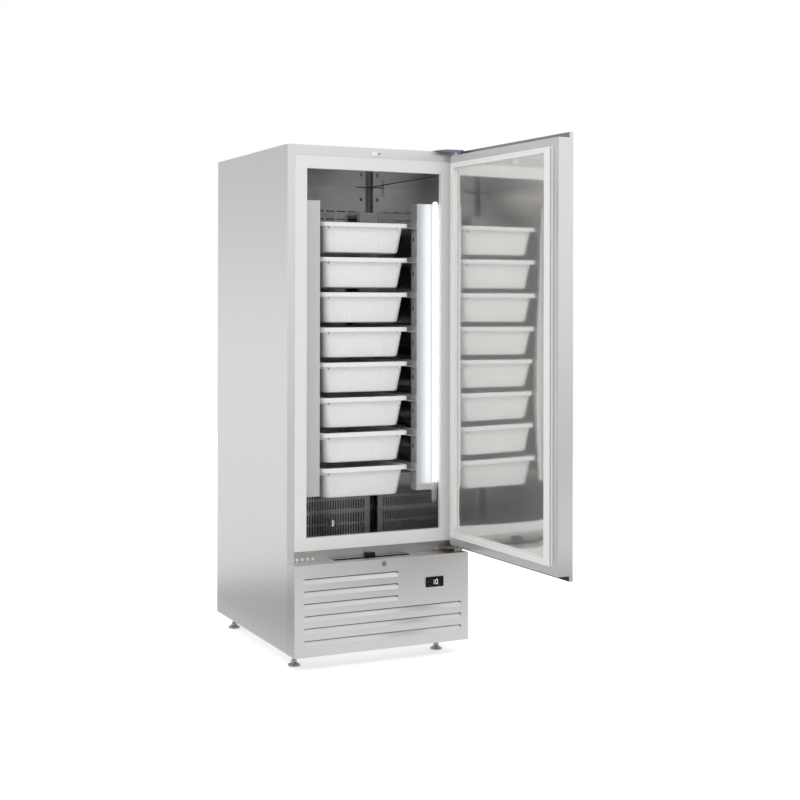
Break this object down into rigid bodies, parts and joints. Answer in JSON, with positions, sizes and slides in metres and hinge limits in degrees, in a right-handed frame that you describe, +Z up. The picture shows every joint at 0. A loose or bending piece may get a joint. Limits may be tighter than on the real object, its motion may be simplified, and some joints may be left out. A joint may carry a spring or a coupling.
{
  "type": "refrigerated fish cabinet",
  "caption": "Upright refrigerated fish cabinet with a full-height insulated door, sliding white tubs on runners, inside lamp, rear air duct and a condensing unit behind a louvred lower panel.",
  "frame": {"origin": "floor level, middle of the width, front flange plane of the insulated body", "axes": "+X to the right seen from the front, +Y towards the back, +Z up; the door stands open at 92 degrees at rest"},
  "size_m": [0.7773, 1.5706, 1.995],
  "materials": {
    "steel_satin": "satin stainless steel sheet, vertical grain",
    "steel_polished": "mirror-polished stainless steel sheet",
    "steel_panel": "satin stainless steel sheet, horizontal grain",
    "steel_rack": "satin stainless steel, folded",
    "steel_galvanised": "galvanised steel sheet",
    "steel_zinc": "zinc-plated steel",
    "hinge_dark": "blue-black chromated steel",
    "chrome": "polished chrome",
    "aluminium": "natural anodised",
    "copper": "drawn copper tube",
    "black_paint": "black enamel",
    "white_frame": "extruded white plastic, satin",
    "white_tub": "food-grade white plastic, translucent, satin",
    "white_switch": "moulded white plastic",
    "grey_plastic": "moulded grey plastic",
    "black_plastic": "moulded black plastic",
    "bush_plastic": "brown low-friction plastic",
    "seal_white": "soft white seal with a magnet inside",
    "diffuser": "opal diffuser",
    "foam": "foamed-in insulation",
    "foot_metal": "dark plated steel"
  },
  "bodies": {
    "cabinet": {"side_panel_left": "steel_satin", "side_panel_right": "steel_satin", "roof_panel": "steel_satin", "back_panel": "steel_galvanised", "base_plate": "steel_galvanised", "under_pan": "steel_satin", "breaker_frame": "white_frame", "insulation": "foam", "liner_sides": "steel_polished", "liner_back": "steel_polished", "liner_ceiling": "steel_polished", "floor_basin": "steel_polished", "intake_grille": "steel_polished", "evaporator_cover": "steel_polished", "back_duct_panel": "steel_polished", "evaporator_coil": "aluminium", "evaporator_motor": "black_paint", "drain_plug": "chrome", "drain_pipe": "grey_plastic", "uprights_front": "steel_rack", "uprights_rear": "steel_rack", "runners": "steel_rack", "lamp_profile": "aluminium", "lamp_diffuser": "diffuser", "door_switch": "white_switch", "top_hinge": "hinge_dark", "lower_hinge": "steel_zinc", "hinge_bearing": "bush_plastic", "front_panel": "steel_panel", "controller": "black_plastic", "lock_housing": "chrome", "door_sensor": "black_plastic", "compressor": "black_paint", "condenser": "black_paint", "condenser_shroud": "steel_galvanised", "condenser_motor": "black_paint", "refrigerant_pipes": "copper", "drip_tray": "steel_galvanised"},
    "evaporator_fan": {"evaporator_fan": "grey_plastic"},
    "condenser_fan": {"condenser_fan": "aluminium"},
    "lock_plug": {"lock_plug": "chrome"},
    "switch_plunger": {"switch_plunger": "grey_plastic"},
    "foot_front_left": {"foot_front_left": "foot_metal"},
    "foot_front_right": {"foot_front_right": "foot_metal"},
    "foot_rear_left": {"foot_rear_left": "foot_metal"},
    "foot_rear_right": {"foot_rear_right": "foot_metal"},
    "door": {"door_skin": "steel_satin", "door_pan": "steel_satin", "door_liner": "steel_polished", "door_core": "foam", "door_gasket": "seal_white", "door_bushes": "bush_plastic"},
    "tub_1": {"tub_1": "white_tub"},
    "tub_2": {"tub_2": "white_tub"},
    "tub_3": {"tub_3": "white_tub"},
    "tub_4": {"tub_4": "white_tub"},
    "tub_5": {"tub_5": "white_tub"},
    "tub_6": {"tub_6": "white_tub"},
    "tub_7": {"tub_7": "white_tub"},
    "tub_8": {"tub_8": "white_tub"}
  },
  "joints": [
    {"name": "door_hinge", "type": "hinge", "parent": "cabinet", "child": "door", "pos_m": [0.3486, -0.0464, 1.198], "axis": [0, 0, 1], "range_deg": [-92, 13]},
    {"name": "tub_1_slide", "type": "slide", "parent": "cabinet", "child": "tub_1", "axis": [0, -1, 0], "range_m": [0, 0.45]},
    {"name": "tub_2_slide", "type": "slide", "parent": "cabinet", "child": "tub_2", "axis": [0, -1, 0], "range_m": [0, 0.45]},
    {"name": "tub_3_slide", "type": "slide", "parent": "cabinet", "child": "tub_3", "axis": [0, -1, 0], "range_m": [0, 0.45]},
    {"name": "tub_4_slide", "type": "slide", "parent": "cabinet", "child": "tub_4", "axis": [0, -1, 0], "range_m": [0, 0.45]},
    {"name": "tub_5_slide", "type": "slide", "parent": "cabinet", "child": "tub_5", "axis": [0, -1, 0], "range_m": [0, 0.45]},
    {"name": "tub_6_slide", "type": "slide", "parent": "cabinet", "child": "tub_6", "axis": [0, -1, 0], "range_m": [0, 0.45]},
    {"name": "tub_7_slide", "type": "slide", "parent": "cabinet", "child": "tub_7", "axis": [0, -1, 0], "range_m": [0, 0.45]},
    {"name": "tub_8_slide", "type": "slide", "parent": "cabinet", "child": "tub_8", "axis": [0, -1, 0], "range_m": [0, 0.45]},
    {"name": "evaporator_fan_spin", "type": "hinge", "parent": "cabinet", "child": "evaporator_fan", "pos_m": [0, 0.718, 1.07], "axis": [1, 0, 0], "continuous": true},
    {"name": "condenser_fan_spin", "type": "hinge", "parent": "cabinet", "child": "condenser_fan", "pos_m": [-0.06, 0.1543, 0.21], "axis": [0, 1, 0], "continuous": true},
    {"name": "lock_turn", "type": "hinge", "parent": "cabinet", "child": "lock_plug", "pos_m": [0, -0.08, 0.3835], "axis": [0, -1, 0], "range_deg": [0, 90]},
    {"name": "switch_press", "type": "slide", "parent": "cabinet", "child": "switch_plunger", "axis": [0, 1, 0], "range_m": [0, 0.009], "stiffness_N_per_m": 300, "springref_m": -0.003},
    {"name": "foot_front_left_turn", "type": "hinge", "parent": "cabinet", "child": "foot_front_left", "pos_m": [-0.325, 0.034, 0], "axis": [0, 0, 1], "continuous": true},
    {"name": "foot_front_right_turn", "type": "hinge", "parent": "cabinet", "child": "foot_front_right", "pos_m": [0.288, 0.034, 0], "axis": [0, 0, 1], "continuous": true},
    {"name": "foot_rear_left_turn", "type": "hinge", "parent": "cabinet", "child": "foot_rear_left", "pos_m": [-0.325, 0.707, 0], "axis": [0, 0, 1], "continuous": true},
    {"name": "foot_rear_right_turn", "type": "hinge", "parent": "cabinet", "child": "foot_rear_right", "pos_m": [0.325, 0.707, 0], "axis": [0, 0, 1], "continuous": true}
  ]
}
